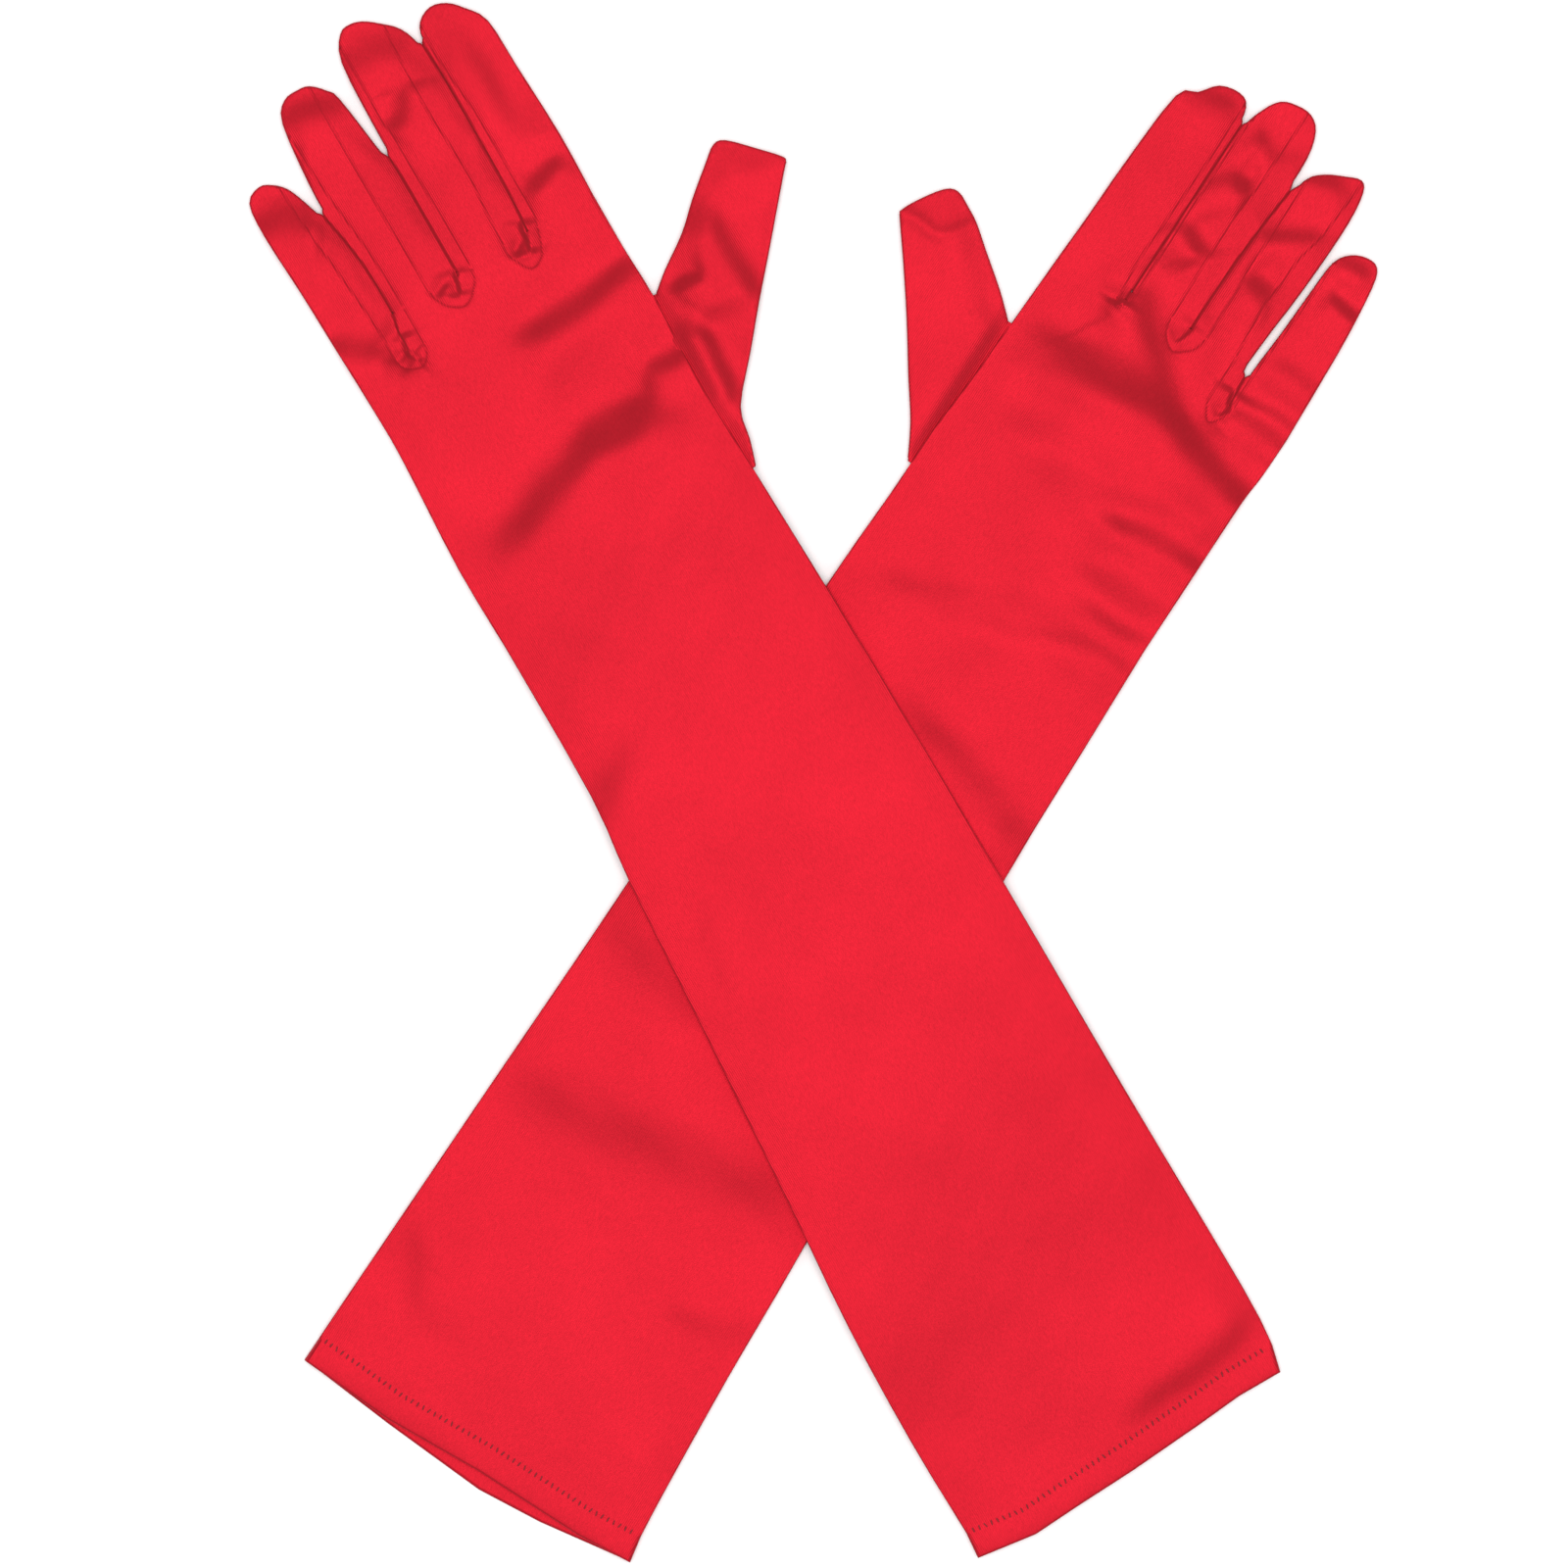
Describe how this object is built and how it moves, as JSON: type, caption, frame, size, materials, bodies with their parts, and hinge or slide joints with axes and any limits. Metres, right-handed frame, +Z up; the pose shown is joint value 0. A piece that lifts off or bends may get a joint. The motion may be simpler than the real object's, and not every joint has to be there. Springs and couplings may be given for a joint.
{
  "type": "pair of opera gloves",
  "caption": "Pair of long stretch-satin evening gloves lying crossed, with let-in strips between the fingers, set-in thumbs and a turned-in cuff hem.",
  "frame": {"origin": "middle of the pair's outline at the surface that it lies on", "axes": "+Z up out of the surface, +Y from the cuffs towards the fingertips, midway between the two gloves, +X to the right as seen from above"},
  "size_m": [0.3449, 0.4768, 0.0143],
  "materials": {
    "satin": "satin",
    "satin_strips": "satin",
    "satin_hem": "satin",
    "satin_seam": "satin",
    "hem_thread": "satin"
  },
  "bodies": {
    "right_forearm": {"right_forearm_panel": "satin", "right_cuff_hem": "satin_hem", "right_hem_thread": "hem_thread", "right_forearm_seam": "satin_seam"},
    "right_hand": {"right_hand_panel": "satin", "right_hand_seam": "satin_seam", "right_gusset_index_middle": "satin_strips", "right_gusset_middle_ring": "satin_strips", "right_gusset_ring_little": "satin_strips"},
    "right_index": {"right_index_panel": "satin", "right_index_strip": "satin_strips"},
    "right_middle": {"right_middle_panel": "satin", "right_middle_strip_index_side": "satin_strips", "right_middle_strip_ring_side": "satin_strips"},
    "right_ring": {"right_ring_panel": "satin", "right_ring_strip_middle_side": "satin_strips", "right_ring_strip_little_side": "satin_strips"},
    "right_little": {"right_little_panel": "satin", "right_little_strip": "satin_strips", "right_little_seam": "satin_seam"},
    "right_thumb": {"right_thumb_panel": "satin", "right_thumb_seam": "satin_seam"},
    "left_forearm": {"left_forearm_panel": "satin", "left_cuff_hem": "satin_hem", "left_hem_thread": "hem_thread", "left_forearm_seam": "satin_seam"},
    "left_hand": {"left_hand_panel": "satin", "left_hand_seam": "satin_seam", "left_gusset_index_middle": "satin_strips", "left_gusset_middle_ring": "satin_strips", "left_gusset_ring_little": "satin_strips"},
    "left_index": {"left_index_panel": "satin", "left_index_strip": "satin_strips"},
    "left_middle": {"left_middle_panel": "satin", "left_middle_strip_index_side": "satin_strips", "left_middle_strip_ring_side": "satin_strips"},
    "left_ring": {"left_ring_panel": "satin", "left_ring_strip_middle_side": "satin_strips", "left_ring_strip_little_side": "satin_strips"},
    "left_little": {"left_little_panel": "satin", "left_little_strip": "satin_strips", "left_little_seam": "satin_seam"},
    "left_thumb": {"left_thumb_panel": "satin", "left_thumb_seam": "satin_seam"}
  },
  "joints": [
    {"name": "left_glove_lift", "type": "slide", "parent": "right_forearm", "child": "left_forearm", "axis": [0, 0, 1], "range_m": [0, 0.12]},
    {"name": "right_wrist_fold", "type": "hinge", "parent": "right_forearm", "child": "right_hand", "pos_m": [0.06245, 0.06488, 0.007], "axis": [0.848, -0.5299, 0], "range_deg": [0, 90]},
    {"name": "right_index_fold", "type": "hinge", "parent": "right_hand", "child": "right_index", "pos_m": [0.08492, 0.15461, 0.0066], "axis": [0.848, -0.5299, 0], "range_deg": [0, 90]},
    {"name": "right_middle_fold", "type": "hinge", "parent": "right_hand", "child": "right_middle", "pos_m": [0.10644, 0.14471, 0.0066], "axis": [0.848, -0.5299, 0], "range_deg": [0, 90]},
    {"name": "right_ring_fold", "type": "hinge", "parent": "right_hand", "child": "right_ring", "pos_m": [0.12425, 0.13358, 0.0066], "axis": [0.848, -0.5299, 0], "range_deg": [0, 90]},
    {"name": "right_little_fold", "type": "hinge", "parent": "right_hand", "child": "right_little", "pos_m": [0.13548, 0.11005, 0.0066], "axis": [0.848, -0.5299, 0], "range_deg": [0, 90]},
    {"name": "right_thumb_fold", "type": "hinge", "parent": "right_hand", "child": "right_thumb", "pos_m": [0.04437, 0.11982, 0.0066], "axis": [0.5837, 0.812, 0], "range_deg": [0, 90]},
    {"name": "left_wrist_fold", "type": "hinge", "parent": "left_forearm", "child": "left_hand", "pos_m": [-0.05507, 0.0639, 0.007], "axis": [0.866, 0.5, 0], "range_deg": [0, 90]},
    {"name": "left_index_fold", "type": "hinge", "parent": "left_hand", "child": "left_index", "pos_m": [-0.07696, 0.17481, 0.0066], "axis": [0.866, 0.5, 0], "range_deg": [0, 90]},
    {"name": "left_middle_fold", "type": "hinge", "parent": "left_hand", "child": "left_middle", "pos_m": [-0.09818, 0.16256, 0.0066], "axis": [0.866, 0.5, 0], "range_deg": [0, 90]},
    {"name": "left_ring_fold", "type": "hinge", "parent": "left_hand", "child": "left_ring", "pos_m": [-0.11846, 0.1497, 0.0066], "axis": [0.866, 0.5, 0], "range_deg": [0, 90]},
    {"name": "left_little_fold", "type": "hinge", "parent": "left_hand", "child": "left_little", "pos_m": [-0.13238, 0.12781, 0.0066], "axis": [0.866, 0.5, 0], "range_deg": [0, 90]},
    {"name": "left_thumb_fold", "type": "hinge", "parent": "left_hand", "child": "left_thumb", "pos_m": [-0.03323, 0.12327, 0.0066], "axis": [0.5, -0.866, 0], "range_deg": [0, 90]}
  ]
}
